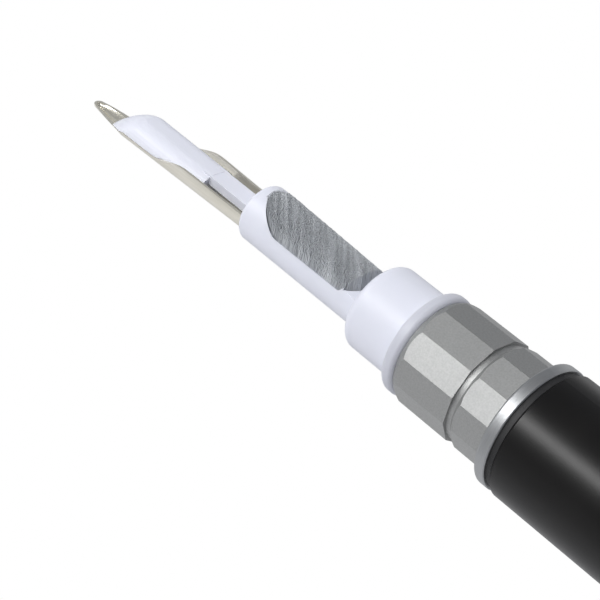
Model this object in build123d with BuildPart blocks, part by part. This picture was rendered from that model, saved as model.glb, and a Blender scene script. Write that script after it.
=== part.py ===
"""Three-in-one earphone cleaning pen, cap off, in millimetres.

The pen's axis is X, with the scoop tip towards -X and the rear plug towards +X.
+Z is the side on which the scoop and the brush pocket are open.
The origin is on the axis, in the flange face that the front cap's rim stops against.
"""
import os
from math import sqrt
from build123d import *

# barrel and rear end
BARREL_R = 7.25
BARREL_BORE_R = 6.2
BARREL_FRONT = 2.1
BARREL_REAR = 46.0
EDGE_CHAMFER = 0.3
PLUG_REAR = 54.0
PLUG_ROUND = 1.0
PLUG_GAP = 0.1
PLUG_SPIGOT_R = 5.35
PLUG_SPIGOT_FRONT = 36.5

# rings and bush at the barrel's mouth
FLANGE_R = 7.18
FLANGE_LENGTH = 1.4
FLANGE_EDGE = 0.4
FLANGE_CHAMFER = 0.1
SEAL_R = 6.9
BUSH_REAR = 9.0
SPIGOT_R = 4.0
SPIGOT_REAR = 8.6

# sleeve around the sponge
SLEEVE_R = 5.4
SLEEVE_REAR = 45.6
SLEEVE_FLOOR = 1.2

# sponge on its stick
STICK_R = 1.3
STICK_CHAMFER = 0.3
STICK_FRONT = 18.0
STICK_REAR = 47.0
SPONGE_R = 2.8
SPONGE_FRONT = 13.5
SPONGE_REAR = 33.5
SPONGE_NOSE_ROUND = 2.2
SPONGE_TAIL_ROUND = 0.6
FERRULE_R = 1.9

# rubber ring on the plug
RING_SECTION_R = 0.6
RING_OUTER_R = 5.38
RING_X = 40.5
RING_PLAY = 0.1

# twelve-sided collar
COLLAR_SIDES = 12
COLLAR_R = 6.16
COLLAR_LENGTH = 12.6
COLLAR_TURN = 13.5
COLLAR_BORE_R = 5.0
COLLAR_FRONT_R = 5.65
COLLAR_CONE_REAR = -11.4
GROOVE_R = 5.72
GROOVE_FRONT = -5.1
GROOVE_BACK = -4.5
GROOVE_RAMP = -3.8

# white carrier: flange, cylinder and tube, whose front end leans back towards +Z
RIM_R = 6.0
RIM_LENGTH = 1.6
RIM_ROUND = 0.6
CYLINDER_R = 5.0
CYLINDER_FRONT = -20.95
SHOULDER_ROUND = 1.1
TUBE_R = 3.38
TUBE_FRONT = -38.95
TUBE_LEAN = 15.0
TUBE_ROUND = 0.6

# brush
POCKET_REAR = -22.1
POCKET_FRONT = -37.6
POCKET_WIDTH = 6.5
POCKET_REAR_END = 1.8
POCKET_FRONT_END = 4.4
POCKET_FLOOR = 0.8
BRUSH_GAP = 0.12
BRUSH_FRONT_R = 3.45
BRUSH_REAR_R = 3.0
BASE_GAP = 0.9
BASE_THICKNESS = 0.5
LAND_FRONT = -23.2
LAND_TOP = 1.3

# metal scoop: a trough that widens forwards, then an oblique nose
SHEET = 0.3
TAIL_REAR = -34.5
TROUGH_REAR_R = 2.58
TROUGH_FRONT_R = 3.15
TROUGH_FRONT = -59.6
NOSE_R = 0.65
NOSE_DROP = 2.55
NOSE_CENTRE = -66.15
RIM_HIGH = 0.18
RIM_LOW = -1.38
RIM_NOSE = -2.55
STEP_REAR = -48.2
STEP_FRONT = -54.6
DROP_REAR = -58.6
DROP_FRONT = -61.3

# white core that lies in the scoop: a rib, then a domed paddle
CORE_CLEARANCE = 0.03
RIB_TOP = 0.38
RIB_WIDTH = 2.4
RIB_THICKNESS = 1.0
PADDLE_TOP = 0.42
PADDLE_REAR = -46.0
PADDLE_DEPTH = 3.5
PADDLE_TOP_HALF = 0.6
PADDLE_HALF = 3.05
PADDLE_TOP_FRONT = -57.8
PADDLE_FRONT = -62.9
PADDLE_SLOPE = 0.62
PADDLE_LEVELS = 12
PADDLE_EDGE = 0.08


def turned(profile):
    """A solid of revolution about the pen's axis, from (x, radius) corners."""
    with BuildPart() as body:
        with BuildSketch(Plane.XZ):
            with BuildLine():
                Polyline(*profile, close=True)
            make_face()
        revolve(axis=Axis.X)
    return body


def tube_profile(rear, front, outer, bore):
    return [(front, bore), (front, outer), (rear, outer), (rear, bore)]


def save(name, part):
    part.label = name
    export_step(part, f"parts/{name}.step")


def circle_at(x, radius, drop=0.0):
    """A circle across the axis, its centre lowered by drop."""
    with BuildSketch(Plane.YZ.offset(x)) as section:
        with Locations((0, -drop)):
            Circle(radius)
    return section.sketch


def scoop_volume(inset):
    """The scoop's outer form, shrunk by inset: trough, nose and round end."""
    tail = circle_at(TAIL_REAR, TROUGH_REAR_R - inset)
    front = circle_at(TROUGH_FRONT, TROUGH_FRONT_R - inset)
    nose = circle_at(NOSE_CENTRE, NOSE_R - inset, NOSE_DROP)
    with BuildPart() as volume:
        loft([tail, front])
        loft([front, nose])
        with Locations((NOSE_CENTRE, 0, -NOSE_DROP)):
            Sphere(NOSE_R - inset)
    return volume.part


def scoop_open_side(lift=0.0):
    """Everything above the scoop's rim raised by lift, seen from the side."""
    far = 2 * TROUGH_FRONT_R
    high = RIM_HIGH + lift
    low = RIM_LOW + lift
    nose = RIM_NOSE + lift
    rear_x = TAIL_REAR + 1
    front_x = NOSE_CENTRE - 5
    with BuildPart() as above:
        with BuildSketch(Plane.XZ):
            with BuildLine():
                rear = Polyline((rear_x, far), (rear_x, high), (STEP_REAR, high))
                step = Spline((STEP_REAR, high), (STEP_FRONT, low), tangents=((-1, 0), (-1, 0)))
                level = Line(step @ 1, (DROP_REAR, low))
                drop = Spline(level @ 1, (DROP_FRONT, nose), tangents=((-1, 0), (-1, 0)))
                Polyline(drop @ 1, (front_x, nose), (front_x, far), rear @ 0)
            make_face()
        extrude(amount=far, both=True)
    return above.part


def make_metal_tip():
    outside = scoop_volume(0)
    inside = scoop_volume(SHEET)
    open_side = scoop_open_side()
    with BuildPart() as tip:
        add(outside)
        add(inside, mode=Mode.SUBTRACT)
        add(open_side, mode=Mode.SUBTRACT)
    return tip


def make_rib():
    """The bar that joins the paddle to the tube."""
    rear = TUBE_FRONT + 1.5
    with BuildPart() as rib:
        with BuildSketch(Plane.YZ.offset(rear)):
            with Locations((0, RIB_TOP - RIB_THICKNESS / 2)):
                Rectangle(RIB_WIDTH, RIB_THICKNESS)
        extrude(amount=PADDLE_REAR - 1 - rear)
    return rib.part


def paddle_outline(down):
    """The paddle's outline at a share of its depth, from 0 at its top to 1."""
    half_width = PADDLE_TOP_HALF + (PADDLE_HALF - PADDLE_TOP_HALF) * sqrt(1 - (1 - down) ** 2)
    front = PADDLE_TOP_FRONT + (PADDLE_FRONT - PADDLE_TOP_FRONT) * down ** PADDLE_SLOPE
    rear = PADDLE_REAR + 2 * half_width + 1
    with BuildSketch(Plane.XY.offset(PADDLE_TOP - down * PADDLE_DEPTH)) as outline:
        with Locations(((rear + front) / 2, 0)):
            SlotOverall(rear - front, 2 * half_width)
    return outline.sketch


def make_paddle():
    """A domed tongue that fills the scoop and overhangs its rim where the rim is low."""
    outlines = [paddle_outline((level / PADDLE_LEVELS) ** 2) for level in range(PADDLE_LEVELS + 1)]
    above_rim = scoop_open_side(CORE_CLEARANCE)
    overhang = scoop_volume(PADDLE_EDGE)
    inside = scoop_volume(SHEET + CORE_CLEARANCE)
    with BuildPart() as limits:
        add(overhang)
        add(above_rim, mode=Mode.INTERSECT)
        add(inside)
    with BuildPart() as paddle:
        loft(outlines, ruled=True)
        split(bisect_by=Plane.YZ.offset(PADDLE_REAR), keep=Keep.BOTTOM)
        add(limits.part, mode=Mode.INTERSECT)
    return paddle.part


def pocket_prism(gap, bottom, top):
    """The pocket's long rounded outline, kept gap inside its wall, from bottom to top."""
    half_width = POCKET_WIDTH / 2 - gap
    rear = POCKET_REAR - POCKET_REAR_END
    front = POCKET_FRONT + POCKET_FRONT_END
    with BuildPart() as prism:
        with BuildSketch(Plane.XY.offset(bottom)):
            with Locations(((rear + front) / 2, 0)):
                Rectangle(rear - front, 2 * half_width)
            with Locations((rear, 0)):
                Ellipse(POCKET_REAR_END - gap, half_width)
            with Locations((front, 0)):
                Ellipse(POCKET_FRONT_END - gap, half_width)
        extrude(amount=top - bottom)
    return prism.part


def make_head_carrier():
    rim_front = -COLLAR_LENGTH - RIM_LENGTH
    blank = turned([(SPIGOT_REAR, 0), (SPIGOT_REAR, SPIGOT_R), (FLANGE_LENGTH, SPIGOT_R),
                    (FLANGE_LENGTH, COLLAR_BORE_R), (-COLLAR_LENGTH, COLLAR_BORE_R),
                    (-COLLAR_LENGTH, RIM_R), (rim_front, RIM_R), (rim_front, CYLINDER_R),
                    (CYLINDER_FRONT, CYLINDER_R), (CYLINDER_FRONT, TUBE_R),
                    (TUBE_FRONT - 1, TUBE_R), (TUBE_FRONT - 1, 0)])
    end_plane = Plane(origin=(TUBE_FRONT, 0, 0), x_dir=(0, 1, 0), z_dir=(-1, 0, 0)).rotated((TUBE_LEAN, 0, 0))
    pocket = pocket_prism(0, POCKET_FLOOR, 2 * TUBE_R)
    base_seat = pocket_prism(BASE_GAP, POCKET_FLOOR - BASE_THICKNESS, POCKET_FLOOR)
    with BuildPart() as land:
        with BuildSketch(Plane.XY.offset(LAND_TOP)):
            with Locations(((LAND_FRONT + CYLINDER_FRONT) / 2, 0)):
                Rectangle(CYLINDER_FRONT - LAND_FRONT, 2 * TUBE_R)
        extrude(amount=TUBE_R)
    rib = make_rib()
    tip = make_metal_tip()
    paddle = make_paddle()
    with BuildPart() as carrier:
        add(blank.part)
        circles = carrier.edges().filter_by(GeomType.CIRCLE)
        fillet(circles.filter_by(lambda edge: abs(edge.radius - RIM_R) < 0.01), RIM_ROUND)
        circles = carrier.edges().filter_by(GeomType.CIRCLE)
        at_shoulder = circles.filter_by(lambda edge: abs(edge.center().X - CYLINDER_FRONT) < 0.01)
        fillet(at_shoulder.sort_by(SortBy.RADIUS)[-1], SHOULDER_ROUND)
        split(bisect_by=end_plane, keep=Keep.BOTTOM)
        fillet(carrier.faces().sort_by(Axis.X)[0].edges(), TUBE_ROUND)
        add(pocket, mode=Mode.SUBTRACT)
        add(land.part, mode=Mode.SUBTRACT)
        add(base_seat, mode=Mode.SUBTRACT)
        add(rib)
        add(tip.part, mode=Mode.SUBTRACT)
        add(paddle)
    return carrier


def make_brush_base():
    prism = pocket_prism(BASE_GAP, POCKET_FLOOR - BASE_THICKNESS, POCKET_FLOOR)
    with BuildPart() as base:
        add(prism)
    return base


def make_brush_bristles():
    prism = pocket_prism(BRUSH_GAP, POCKET_FLOOR, 2 * BRUSH_FRONT_R)
    trim = turned([(POCKET_REAR, 0), (POCKET_REAR, BRUSH_REAR_R), (POCKET_FRONT, BRUSH_FRONT_R), (POCKET_FRONT, 0)])
    with BuildPart() as bristles:
        add(prism)
        add(trim.part, mode=Mode.INTERSECT)
    return bristles


def make_faceted_collar():
    far = 2 * COLLAR_R
    cone = turned([(-COLLAR_LENGTH - 1, COLLAR_FRONT_R), (-COLLAR_LENGTH, COLLAR_FRONT_R),
                   (COLLAR_CONE_REAR, COLLAR_R + 0.2), (COLLAR_CONE_REAR, far), (-COLLAR_LENGTH - 1, far)])
    groove = turned([(GROOVE_FRONT, GROOVE_R), (GROOVE_BACK, GROOVE_R), (GROOVE_RAMP, COLLAR_R + 0.1),
                     (GROOVE_RAMP, far), (GROOVE_FRONT, far)])
    with BuildPart() as collar:
        with BuildSketch(Plane.YZ.offset(-COLLAR_LENGTH)):
            RegularPolygon(COLLAR_R, COLLAR_SIDES, rotation=90 + COLLAR_TURN)
            Circle(COLLAR_BORE_R, mode=Mode.SUBTRACT)
        extrude(amount=COLLAR_LENGTH)
        add(cone.part, mode=Mode.SUBTRACT)
        add(groove.part, mode=Mode.SUBTRACT)
    return collar


def make_flange_ring():
    blank = turned(tube_profile(FLANGE_LENGTH, 0, FLANGE_R, COLLAR_BORE_R))
    with BuildPart() as ring:
        add(blank.part)
        outer = ring.edges().filter_by(GeomType.CIRCLE).sort_by(SortBy.RADIUS)[-2:]
        fillet(outer.sort_by(Axis.X)[0], FLANGE_EDGE)
        outer = ring.edges().filter_by(GeomType.CIRCLE).sort_by(SortBy.RADIUS)[-1]
        chamfer(outer, FLANGE_CHAMFER)
    return ring


def make_front_bush():
    return turned(tube_profile(BUSH_REAR, FLANGE_LENGTH, BARREL_BORE_R, SPIGOT_R))


def make_seal_ring():
    return turned(tube_profile(BARREL_FRONT, FLANGE_LENGTH, SEAL_R, BARREL_BORE_R))


def make_barrel():
    blank = turned(tube_profile(BARREL_REAR, BARREL_FRONT, BARREL_R, BARREL_BORE_R))
    with BuildPart() as barrel:
        add(blank.part)
        outer = barrel.edges().filter_by(GeomType.CIRCLE).sort_by(SortBy.RADIUS)[-2:]
        chamfer(outer, EDGE_CHAMFER)
    return barrel


def make_inner_sleeve():
    floor_rear = BUSH_REAR + SLEEVE_FLOOR
    return turned([(BUSH_REAR, 0), (BUSH_REAR, BARREL_BORE_R), (SLEEVE_REAR, BARREL_BORE_R),
                   (SLEEVE_REAR, SLEEVE_R), (floor_rear, SLEEVE_R), (floor_rear, 0)])


def make_rear_plug():
    head = BARREL_REAR + PLUG_GAP
    groove_r = RING_OUTER_R - 2 * RING_SECTION_R
    groove_half = RING_SECTION_R + RING_PLAY
    blank = turned([(PLUG_SPIGOT_FRONT, STICK_R), (PLUG_SPIGOT_FRONT, PLUG_SPIGOT_R),
                    (RING_X - groove_half, PLUG_SPIGOT_R), (RING_X - groove_half, groove_r),
                    (RING_X + groove_half, groove_r), (RING_X + groove_half, PLUG_SPIGOT_R),
                    (head, PLUG_SPIGOT_R), (head, BARREL_R), (PLUG_REAR, BARREL_R), (PLUG_REAR, 0),
                    (STICK_REAR, 0), (STICK_REAR, STICK_R)])
    with BuildPart() as plug:
        add(blank.part)
        head_edges = plug.edges().filter_by(GeomType.CIRCLE).sort_by(SortBy.RADIUS)[-2:]
        chamfer(head_edges.sort_by(Axis.X)[0], EDGE_CHAMFER)
        rear_edge = plug.edges().filter_by(GeomType.CIRCLE).sort_by(Axis.X)[-1]
        fillet(rear_edge, PLUG_ROUND)
    return plug


def make_plug_ring():
    with BuildPart() as ring:
        with BuildSketch(Plane.XZ):
            with Locations((RING_X, RING_OUTER_R - RING_SECTION_R)):
                Circle(RING_SECTION_R)
        revolve(axis=Axis.X)
    return ring


def make_sponge_stick():
    with BuildPart() as stick:
        with BuildSketch(Plane.YZ.offset(STICK_FRONT)):
            Circle(STICK_R)
        extrude(amount=STICK_REAR - STICK_FRONT)
        chamfer(stick.edges().sort_by(Axis.X)[0], STICK_CHAMFER)
    return stick


def make_sponge_ferrule():
    return turned(tube_profile(PLUG_SPIGOT_FRONT, SPONGE_REAR, FERRULE_R, STICK_R))


def make_flocked_sponge():
    with BuildPart() as sponge:
        with BuildSketch(Plane.YZ.offset(SPONGE_FRONT)):
            Circle(SPONGE_R)
        extrude(amount=SPONGE_REAR - SPONGE_FRONT)
        fillet(sponge.edges().sort_by(Axis.X)[0], SPONGE_NOSE_ROUND)
        fillet(sponge.edges().sort_by(Axis.X)[-1], SPONGE_TAIL_ROUND)
        with BuildSketch(Plane.YZ.offset(STICK_FRONT)):
            Circle(STICK_R)
        extrude(amount=SPONGE_REAR - STICK_FRONT, mode=Mode.SUBTRACT)
    return sponge


os.makedirs("parts", exist_ok=True)

pieces = {
    "metal_tip": make_metal_tip(),
    "head_carrier": make_head_carrier(),
    "brush_base": make_brush_base(),
    "brush_bristles": make_brush_bristles(),
    "faceted_collar": make_faceted_collar(),
    "flange_ring": make_flange_ring(),
    "seal_ring": make_seal_ring(),
    "front_bush": make_front_bush(),
    "barrel": make_barrel(),
    "inner_sleeve": make_inner_sleeve(),
    "rear_plug": make_rear_plug(),
    "plug_ring": make_plug_ring(),
    "sponge_stick": make_sponge_stick(),
    "sponge_ferrule": make_sponge_ferrule(),
    "flocked_sponge": make_flocked_sponge(),
}

for name, piece in pieces.items():
    save(name, piece.part)
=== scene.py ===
import math
import random

import bpy
from mathutils import Matrix, Vector, noise


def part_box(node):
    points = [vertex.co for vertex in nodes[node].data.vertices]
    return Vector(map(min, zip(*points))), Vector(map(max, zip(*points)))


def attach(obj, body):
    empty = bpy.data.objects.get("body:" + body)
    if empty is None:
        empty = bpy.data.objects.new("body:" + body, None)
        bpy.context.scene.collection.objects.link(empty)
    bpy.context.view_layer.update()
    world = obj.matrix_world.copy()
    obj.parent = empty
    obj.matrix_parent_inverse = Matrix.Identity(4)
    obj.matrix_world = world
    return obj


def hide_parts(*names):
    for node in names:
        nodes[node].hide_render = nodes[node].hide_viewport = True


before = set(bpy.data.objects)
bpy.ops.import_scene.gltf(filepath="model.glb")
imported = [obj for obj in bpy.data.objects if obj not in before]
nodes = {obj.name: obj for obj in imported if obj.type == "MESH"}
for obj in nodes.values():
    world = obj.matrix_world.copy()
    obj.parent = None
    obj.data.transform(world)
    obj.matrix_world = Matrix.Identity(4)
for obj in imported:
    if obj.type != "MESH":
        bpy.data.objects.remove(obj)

MM = 0.001
MICRON = 0.000001
FACING = Vector((0, -0.743, 0.669))    # square to the pen, towards the camera's side
STUDIO_DIM_SIDE = (0, -0.643, 0.766)   # the middle of the studio's dim half, near FACING
AHEAD = Vector((-1, 0, 0))             # along the pen, towards its tip
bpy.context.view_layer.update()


# ---------------------------------------------------------------- small helpers
def new_material(name):
    """A node material: returns it with its tree and its main shader."""
    material = bpy.data.materials.new(name)
    material.use_nodes = True
    tree = material.node_tree
    return material, tree, tree.nodes["Principled BSDF"]


def add_node(tree, kind, **settings):
    """A node whose settings are inputs where it has such an input, and properties where not."""
    node = tree.nodes.new(kind)
    for key, value in settings.items():
        if key in node.inputs:
            node.inputs[key].default_value = value
        else:
            setattr(node, key, value)
    return node


def place_coordinates(tree, scale=(1, 1, 1)):
    """Object coordinates in metres, stretched per axis."""
    place = add_node(tree, "ShaderNodeTexCoord")
    stretch = add_node(tree, "ShaderNodeMapping", Scale=scale)
    tree.links.new(place.outputs["Object"], stretch.inputs["Vector"])
    return stretch.outputs["Vector"]


def noise_field(tree, scale, stretch=(1, 1, 1), detail=3.0):
    """Noise in the object's own space; scale is roughly in waves per metre."""
    field = add_node(tree, "ShaderNodeTexNoise", Scale=scale, Detail=detail)
    tree.links.new(place_coordinates(tree, stretch), field.inputs["Vector"])
    return field.outputs["Fac"]


def colour_ramp(tree, factor, stops):
    """Colours by factor; stops are (position, colour)."""
    ramp = add_node(tree, "ShaderNodeValToRGB")
    elements = ramp.color_ramp.elements
    while len(elements) < len(stops):
        elements.new(0.5)
    for element, (position, colour) in zip(elements, stops):
        element.position = position
        element.color = (*colour, 1)
    tree.links.new(factor, ramp.inputs["Fac"])
    return ramp.outputs["Color"]


def value_range(tree, factor, low, high):
    """Maps a factor from 0..1 to low..high."""
    mapped = add_node(tree, "ShaderNodeMapRange")
    mapped.inputs["To Min"].default_value = low
    mapped.inputs["To Max"].default_value = high
    tree.links.new(factor, mapped.inputs["Value"])
    return mapped.outputs["Result"]


def bump(tree, shader, height, distance, strength=1.0):
    """Bumps the shader's surface by height, which spans distance in metres."""
    node = add_node(tree, "ShaderNodeBump", Strength=strength, Distance=distance)
    tree.links.new(height, node.inputs["Height"])
    tree.links.new(node.outputs["Normal"], shader.inputs["Normal"])


def two_tone(tree, field, dark, light, spread=(0.3, 0.7)):
    """A colour that wanders between two tones as the field does."""
    return colour_ramp(tree, field, list(zip(spread, (dark, light))))


def add_mesh(name, vertices, faces):
    """A new object with its mesh, both under one name."""
    mesh = bpy.data.meshes.new(name)
    mesh.from_pydata(vertices, [], faces)
    mesh.update()
    thing = bpy.data.objects.new(name, mesh)
    bpy.context.scene.collection.objects.link(thing)
    return thing


# ---------------------------------------------------------------- materials
def white_plastic():
    """Milky plastic with a cool tint, darkened by painted shade from the rim back, where it meets the
    collar.
    """
    collar_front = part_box("faceted_collar")[0].x
    rim_front = collar_front - 1.7 * MM
    rim_rear = collar_front - 1.3 * MM
    # painted shade: the plastic's colour is darkened from the rim back, where it meets the collar
    painted_rim_shade = 0.78
    material, tree, shader = new_material("white_plastic")
    colour = two_tone(tree, noise_field(tree, 60), (0.675, 0.69, 0.765), (0.70, 0.715, 0.79))
    place = add_node(tree, "ShaderNodeSeparateXYZ")
    tree.links.new(place_coordinates(tree), place.inputs["Vector"])
    painted_rim_shade_ramp = add_node(tree, "ShaderNodeMapRange")
    painted_rim_shade_ramp.inputs["From Min"].default_value = rim_front
    painted_rim_shade_ramp.inputs["From Max"].default_value = rim_rear
    painted_rim_shade_ramp.inputs["To Min"].default_value = 1.0
    painted_rim_shade_ramp.inputs["To Max"].default_value = painted_rim_shade
    tree.links.new(place.outputs["X"], painted_rim_shade_ramp.inputs["Value"])
    colour_with_painted_shade = add_node(tree, "ShaderNodeVectorMath", operation="SCALE")
    tree.links.new(colour, colour_with_painted_shade.inputs[0])
    tree.links.new(painted_rim_shade_ramp.outputs["Result"], colour_with_painted_shade.inputs["Scale"])
    tree.links.new(colour_with_painted_shade.outputs["Vector"], shader.inputs["Base Color"])
    roughness = value_range(tree, noise_field(tree, 900), 0.4, 0.48)
    tree.links.new(roughness, shader.inputs["Roughness"])
    shader.inputs["Subsurface Weight"].default_value = 0.25
    shader.inputs["Subsurface Radius"].default_value = (1.0, 0.95, 1.0)
    shader.inputs["Subsurface Scale"].default_value = 0.8 * MM
    shader.inputs["IOR"].default_value = 1.49
    bump(tree, shader, noise_field(tree, 2500), 4 * MICRON)
    return material


def grey_plastic():
    """Plain matt plastic for the parts inside."""
    material, tree, shader = new_material("grey_plastic")
    colour = two_tone(tree, noise_field(tree, 500), (0.22, 0.22, 0.235), (0.27, 0.27, 0.28))
    tree.links.new(colour, shader.inputs["Base Color"])
    shader.inputs["Roughness"].default_value = 0.5
    bump(tree, shader, noise_field(tree, 6000), 10 * MICRON)
    return material


def blasted_metal():
    """Cast metal with a fine blasted and clear-lacquered skin, which sparkles a little."""
    material, tree, shader = new_material("blasted_metal")
    cloud = noise_field(tree, 350, detail=4)
    grain = noise_field(tree, 5200, detail=4)
    colour = two_tone(tree, grain, (0.395, 0.40, 0.395), (0.455, 0.46, 0.455), spread=(0.35, 0.65))
    tree.links.new(colour, shader.inputs["Base Color"])
    shader.inputs["Metallic"].default_value = 0.85
    tree.links.new(value_range(tree, cloud, 0.46, 0.58), shader.inputs["Roughness"])
    bump(tree, shader, grain, 30 * MICRON, 0.25)
    return material


def turned_metal():
    """The flange's smoother satin metal, with faint lathe lines round the axis."""
    material, tree, shader = new_material("turned_metal")
    lines = noise_field(tree, 900, stretch=(14, 1, 1))
    colour = two_tone(tree, lines, (0.40, 0.41, 0.42), (0.45, 0.46, 0.465))
    tree.links.new(colour, shader.inputs["Base Color"])
    shader.inputs["Metallic"].default_value = 0.9
    tree.links.new(value_range(tree, lines, 0.38, 0.48), shader.inputs["Roughness"])
    bump(tree, shader, lines, 12 * MICRON, 0.5)
    return material


def scoop_steel():
    """Thin polished nickel-toned sheet with fine draw lines along the pen."""
    material, tree, shader = new_material("scoop_steel")
    lines = noise_field(tree, 1500, stretch=(0.08, 1, 1), detail=4)
    colour = two_tone(tree, lines, (0.78, 0.75, 0.64), (0.92, 0.89, 0.79))
    tree.links.new(colour, shader.inputs["Base Color"])
    shader.inputs["Metallic"].default_value = 0.8
    tree.links.new(value_range(tree, lines, 0.26, 0.36), shader.inputs["Roughness"])
    bump(tree, shader, lines, 4 * MICRON, 0.3)
    return material


def black_shell():
    """Satin black lacquer with a very fine grain."""
    material, tree, shader = new_material("black_shell")
    grain = noise_field(tree, 9000, detail=2)
    cloud = noise_field(tree, 120)
    colour = two_tone(tree, cloud, (0.0042, 0.004, 0.004), (0.007, 0.0066, 0.0064))
    tree.links.new(colour, shader.inputs["Base Color"])
    tree.links.new(value_range(tree, cloud, 0.28, 0.34), shader.inputs["Roughness"])
    shader.inputs["IOR"].default_value = 1.38
    bump(tree, shader, grain, 10 * MICRON, 0.35)
    return material


def black_rubber():
    """Matt rubber for the two rings."""
    material, tree, shader = new_material("black_rubber")
    colour = two_tone(tree, noise_field(tree, 900), (0.010, 0.010, 0.011), (0.018, 0.018, 0.019))
    tree.links.new(colour, shader.inputs["Base Color"])
    shader.inputs["Roughness"].default_value = 0.6
    bump(tree, shader, noise_field(tree, 5000), 10 * MICRON)
    return material


def fibre_material(name, dark, light, roughness):
    """Fine fibres; each has its own shade, stored on its mesh."""
    material, tree, shader = new_material(name)
    shade = add_node(tree, "ShaderNodeAttribute", attribute_name="shade")
    colour = two_tone(tree, shade.outputs["Fac"], dark, light, spread=(0.0, 1.0))
    tree.links.new(colour, shader.inputs["Base Color"])
    shader.inputs["Roughness"].default_value = roughness
    shader.inputs["Sheen Weight"].default_value = 0.2
    shader.inputs["Sheen Roughness"].default_value = 0.4
    return material


# ---------------------------------------------------------------- fibres
def fibre_mesh(name, fibres, sides=4):
    """One mesh of straight tapered fibres; each is (root, tip, radius, shade)."""
    taper = 0.8
    vertices, faces, shades = [], [], []
    for root, tip, radius, shade in fibres:
        along = (tip - root).normalized()
        across = along.orthogonal().normalized()
        other = along.cross(across)
        first = len(vertices)
        for end, size in ((root, radius), (tip, radius * taper)):
            for side in range(sides):
                turn = 2 * math.pi * side / sides
                outwards = math.cos(turn) * across + math.sin(turn) * other
                vertices.append(end + size * outwards)
                shades.append(shade)
        for side in range(sides):
            after = (side + 1) % sides
            faces.append((first + side, first + after, first + sides + after, first + sides + side))
        faces.append(tuple(first + sides + side for side in range(sides)))
        faces.append(tuple(first + side for side in reversed(range(sides))))
    thing = add_mesh(name, vertices, faces)
    layer = thing.data.attributes.new("shade", "FLOAT", "POINT")
    layer.data.foreach_set("value", shades)
    return thing


def make_bristles():
    """Nylon fibres that fill the pocket and lean towards the tip and a little towards +Y.

    Their tops are trimmed to a round outline. Long narrow clumps of fibres differ in height and
    shade, and painted shade darkens them from the middle towards the wall on the -Y side.
    """
    low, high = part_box("brush_bristles")
    pitch = 0.14 * MM
    row_pitch = pitch * 0.866          # rows of a triangular packing
    radius = 0.085 * MM
    lean = math.tan(math.radians(14))
    side_lean = math.tan(math.radians(5))
    spill = 0.45 * MM                  # how far tips may reach past the bundle's front
    front_trim = high.z                # radii of the trimmed outline at the bundle's two ends
    rear_trim = 3.0 * MM
    half_width = high.y
    front_end = 4.28 * MM              # lengths of the bundle's two elliptic ends
    rear_end = 1.68 * MM
    filled = 0.985                     # the part of the bundle's outline that holds roots
    root_wander = 0.02 * MM
    tip_wander = 0.03 * MM
    shortest = 0.3 * MM
    across_x, across_y = 0.677, 0.736  # the direction across the clumps
    clump_squash = 0.06
    fine_clumps, broad_clumps = 2600, 900
    trim_gap = 0.03 * MM
    clump_dip = 0.05 * MM
    rng = random.Random(7)
    fibres = []
    for row in range(int(2 * half_width / row_pitch) + 1):
        y = -half_width + row * row_pitch
        for column in range(int((high.x - low.x) / pitch) + 1):
            x = low.x + (column + 0.5 * (row % 2)) * pitch
            beyond = max(0.0, (low.x + front_end - x) / front_end, (x - high.x + rear_end) / rear_end)
            if math.hypot(beyond, y / half_width) > filled:
                continue
            root = Vector((x, y, low.z))
            root += Vector((rng.uniform(-1, 1), rng.uniform(-1, 1), 0)) * root_wander
            top_y = root.y + side_lean * (high.z - low.z) + rng.gauss(0, tip_wander)
            top_y = min(max(top_y, -half_width + radius), half_width)
            across = root.x * across_x + root.y * across_y
            lengthwise = root.y * across_x - root.x * across_y
            combed = Vector((across, lengthwise * clump_squash, 0))
            clump = noise.noise(combed * fine_clumps) + 0.35 * noise.noise(combed * broad_clumps)
            trim_radius = front_trim + (rear_trim - front_trim) * (x - low.x) / (high.x - low.x)
            top = math.sqrt(max(0, trim_radius ** 2 - top_y ** 2)) - trim_gap - clump_dip * clump
            top = max(top, low.z + shortest)
            top -= abs(rng.gauss(0, tip_wander))
            reach = spill * min(1, max(0, 0.5 + top_y / half_width))
            tip_x = root.x + rng.gauss(0, tip_wander) - lean * (top - low.z)
            tip_x = max(tip_x, low.x - reach)
            # painted shade: fibres are darkened from the middle towards the pocket wall on the -Y side
            painted_wall_shade = max(0, -root.y / half_width)
            shade = min(1, max(0, rng.gauss(0.42, 0.09) + 0.45 * clump - 0.30 * painted_wall_shade))
            fibres.append((root, Vector((tip_x, top_y, top)), radius, shade))
    bristles = fibre_mesh("bristle_fibres", fibres)
    bristles.data.materials.append(
        fibre_material("bristle_nylon", (0.30, 0.315, 0.335), (0.72, 0.745, 0.77), 0.35))
    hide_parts("brush_bristles")
    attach(bristles, "pen")


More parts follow.
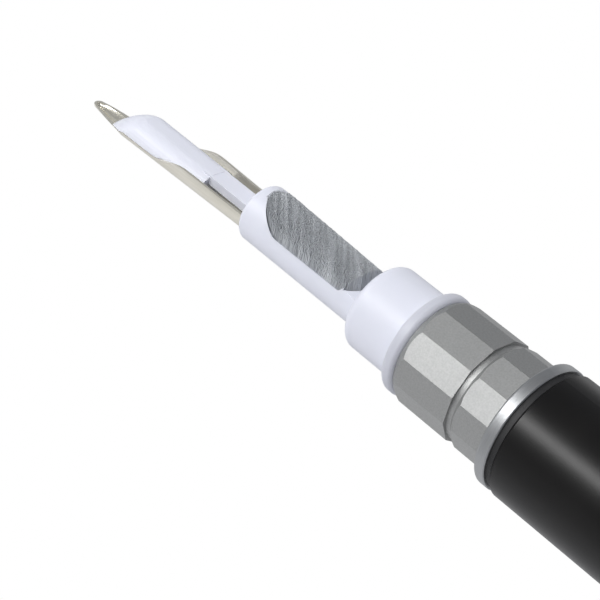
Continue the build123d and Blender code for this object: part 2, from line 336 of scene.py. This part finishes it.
def make_sponge():
    """A soft round-ended sponge with a coat of short flock."""
    low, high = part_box("flocked_sponge")
    coat_depth = 0.25 * MM
    radius = high.y - coat_depth
    length = high.x - low.x
    nose = radius * 0.95
    nose_gap = 0.15 * MM
    tail = 1.2 * MM
    tail_drop = 0.35 * MM
    swelling = 0.1 * MM
    waviness = 900
    rings = 60
    ring_spread = 1.2                  # above 1, rings lie closer together at the nose
    steps = 40
    rng = random.Random(11)

    def outline(distance):
        """The body's radius at a distance behind its nose."""
        if distance < nose:
            return radius * math.sqrt(max(0.0, 1 - (1 - distance / nose) ** 2))
        return radius - tail_drop * max(0.0, (distance - length + tail) / tail)

    vertices = [Vector((low.x + nose_gap, 0, 0))]
    for ring in range(1, rings + 1):
        distance = length * (ring / rings) ** ring_spread
        for step in range(steps):
            turn = 2 * math.pi * step / steps
            out = Vector((0, math.cos(turn), math.sin(turn)))
            place = Vector((low.x + distance, 0, 0)) + out * outline(distance)
            swell = noise.noise(place * waviness) * swelling if ring < rings else 0.0
            vertices.append(place + out * swell)
    faces = [(0, 1 + (step + 1) % steps, 1 + step) for step in range(steps)]
    for ring in range(rings - 1):
        for step in range(steps):
            after = (step + 1) % steps
            here = 1 + ring * steps
            behind = here + steps
            faces.append((here + step, here + after, behind + after, behind + step))
    faces.append(tuple(1 + (rings - 1) * steps + step for step in range(steps)))
    sponge = add_mesh("sponge_body", vertices, faces)
    for polygon in sponge.data.polygons:
        polygon.use_smooth = True
    material, tree, shader = new_material("sponge_foam")
    colour = two_tone(tree, noise_field(tree, 2500), (0.03, 0.03, 0.034), (0.07, 0.07, 0.075))
    tree.links.new(colour, shader.inputs["Base Color"])
    shader.inputs["Roughness"].default_value = 0.95
    bump(tree, shader, noise_field(tree, 5000), 60 * MICRON)
    sponge.data.materials.append(material)

    hairs = 5200
    hair_length = 0.2 * MM
    hair_root = 0.05 * MM
    hair_sway = 0.05 * MM
    hair_radius = 0.03 * MM
    hair_spread = 0.9                  # below 1, hairs lie a little closer together at the tail
    flock = []
    for _ in range(hairs):
        distance = length * rng.random() ** hair_spread
        turn = rng.uniform(0, 2 * math.pi)
        radial = Vector((0, math.cos(turn), math.sin(turn)))
        size = outline(distance)
        root = Vector((low.x + distance, 0, 0)) + radial * size
        out = radial
        if distance < nose:
            out = (radial * size / radius + AHEAD * (1 - distance / nose)).normalized()
        sway = Vector((rng.gauss(0, 1), rng.gauss(0, 1), rng.gauss(0, 1))) * hair_sway
        tip = root + out * hair_length + sway
        tip.x = max(tip.x, low.x)
        flock.append((root - out * hair_root, tip, hair_radius, rng.random()))
    coat = fibre_mesh("sponge_flock", flock, sides=3)
    coat.data.materials.append(
        fibre_material("flock", (0.035, 0.035, 0.04), (0.10, 0.10, 0.11), 0.8))
    coat.parent = sponge
    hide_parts("flocked_sponge")
    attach(sponge, "sponge_plug")


# ---------------------------------------------------------------- CAD nodes' finishes
def finish_nodes():
    """Gives each CAD node that stays visible its one material."""
    white = white_plastic()
    grey = grey_plastic()
    collar_metal = blasted_metal()
    ring_metal = turned_metal()
    steel = scoop_steel()
    shell = black_shell()
    rubber = black_rubber()
    finishes = {
        "metal_tip": steel,
        "head_carrier": white,
        "brush_base": grey,
        "faceted_collar": collar_metal,
        "flange_ring": ring_metal,
        "seal_ring": rubber,
        "front_bush": grey,
        "barrel": shell,
        "inner_sleeve": grey,
        "rear_plug": shell,
        "plug_ring": rubber,
        "sponge_stick": white,
        "sponge_ferrule": ring_metal,
    }
    for name, material in finishes.items():
        data = nodes[name].data
        data.materials.clear()
        data.materials.append(material)


# ---------------------------------------------------------------- studio
def white_when_seen(tree, surface, white, output):
    """Shows the camera the plain white node, and everything else the surface."""
    white.inputs["Color"].default_value = (1, 1, 1, 1)
    seen = add_node(tree, "ShaderNodeLightPath")
    mix = add_node(tree, "ShaderNodeMixShader")
    tree.links.new(seen.outputs["Is Camera Ray"], mix.inputs["Fac"])
    tree.links.new(surface, mix.inputs[1])
    tree.links.new(white.outputs[0], mix.inputs[2])
    tree.links.new(mix.outputs["Shader"], output.inputs["Surface"])


def make_floor():
    """A pale floor, far enough below for the pen to leave no shadow on it."""
    half_side = 3.0
    height = -0.35
    material, tree, shader = new_material("floor_white")
    tint = two_tone(tree, noise_field(tree, 2), (0.60, 0.60, 0.61), (0.62, 0.62, 0.63))
    tree.links.new(tint, shader.inputs["Base Color"])
    tree.links.new(tint, shader.inputs["Emission Color"])
    shader.inputs["Emission Strength"].default_value = 0.45
    shader.inputs["Roughness"].default_value = 0.9
    white = add_node(tree, "ShaderNodeEmission")
    white_when_seen(tree, shader.outputs["BSDF"], white, tree.nodes["Material Output"])
    corners = [(x * half_side, y * half_side, height) for x, y in ((-1, -1), (1, -1), (1, 1), (-1, 1))]
    floor = add_mesh("floor", corners, [(0, 1, 2, 3)])
    floor.data.materials.append(material)


def make_world():
    """A studio that is dim on the camera's side and bright behind the pen."""
    world = bpy.data.worlds.new("studio")
    world.use_nodes = True
    tree = world.node_tree
    place = add_node(tree, "ShaderNodeTexCoord")
    towards = add_node(tree, "ShaderNodeVectorMath", operation="DOT_PRODUCT")
    towards.inputs[1].default_value = STUDIO_DIM_SIDE
    tree.links.new(place.outputs["Generated"], towards.inputs[0])
    mapped = add_node(tree, "ShaderNodeMapRange")
    mapped.inputs["From Min"].default_value = -1
    mapped.inputs["From Max"].default_value = 1
    tree.links.new(towards.outputs["Value"], mapped.inputs["Value"])
    ramp = colour_ramp(tree, mapped.outputs["Result"], [
        (0.0, (1.8, 1.8, 1.8)), (0.25, (0.62, 0.62, 0.63)), (0.5, (0.25, 0.26, 0.28)),
        (0.75, (0.16, 0.165, 0.18)), (1.0, (0.27, 0.27, 0.28))])
    back = tree.nodes["Background"]
    tree.links.new(ramp, back.inputs["Color"])
    white = add_node(tree, "ShaderNodeBackground")
    white_when_seen(tree, back.outputs["Background"], white, tree.nodes["World Output"])
    bpy.context.scene.world = world


def aimed(place, ahead, right):
    """The matrix of a lamp or a camera at place that looks ahead, with right on its right."""
    turn = Matrix((right, right.cross(ahead), -ahead)).transposed()
    return Matrix.Translation(place) @ turn.to_4x4()


def soft_light(name, place, target, size, power, mirrored=True):
    """A rectangular lamp aimed at target, with its first side along the pen.

    Reflections show it where mirrored is true.
    """
    data = bpy.data.lights.new(name, "AREA")
    data.shape = "RECTANGLE"
    data.size, data.size_y = size
    data.energy = power
    ahead = (target - place).normalized()
    side = (AHEAD - ahead * AHEAD.dot(ahead)).normalized()
    lamp = bpy.data.objects.new(name, data)
    lamp.matrix_world = aimed(place, ahead, side)
    lamp.visible_glossy = mirrored
    bpy.context.scene.collection.objects.link(lamp)


def make_lights():
    """A long strip that lies as one stripe along the barrel, and wide fills above and below."""
    strip_target = Vector((-10, 0, 0)) * MM
    strip_distance = 0.42
    towards_strip = (FACING * 0.93 + AHEAD * 0.36).normalized()
    strip_place = strip_target + towards_strip * strip_distance
    soft_light("strip", strip_place, strip_target, (0.60, 0.10), 1.8)
    fill_target = Vector((-20, 0, 0)) * MM
    fill_distance = 0.5
    for name, turn, power in (("fill_high", 65, 1.0), ("fill_low", -75, 0.55)):
        side = Matrix.Rotation(math.radians(-turn), 3, "X") @ FACING
        fill_place = fill_target + side * fill_distance
        soft_light(name, fill_place, fill_target, (0.5, 0.3), power, mirrored=False)


def make_camera():
    """Eye and aim are in millimetres; the image's up direction sets the roll."""
    eye = Vector((73.94, -133.88, 114.30)) * MM
    aim = Vector((-20.74, -12.65, 5.14)) * MM
    picture_up = Vector((-0.551, 0.279, 0.786))
    ahead = (aim - eye).normalized()
    data = bpy.data.cameras.new("camera")
    data.sensor_width = 36.0
    data.lens = 117.36
    data.clip_start = 0.01
    data.clip_end = 20.0
    camera = bpy.data.objects.new("camera", data)
    camera.matrix_world = aimed(eye, ahead, ahead.cross(picture_up).normalized())
    bpy.context.scene.collection.objects.link(camera)
    bpy.context.scene.camera = camera


bpy.context.scene.view_settings.view_transform = "Standard"
make_camera()
finish_nodes()
make_bristles()
make_sponge()
make_floor()
make_world()
make_lights()
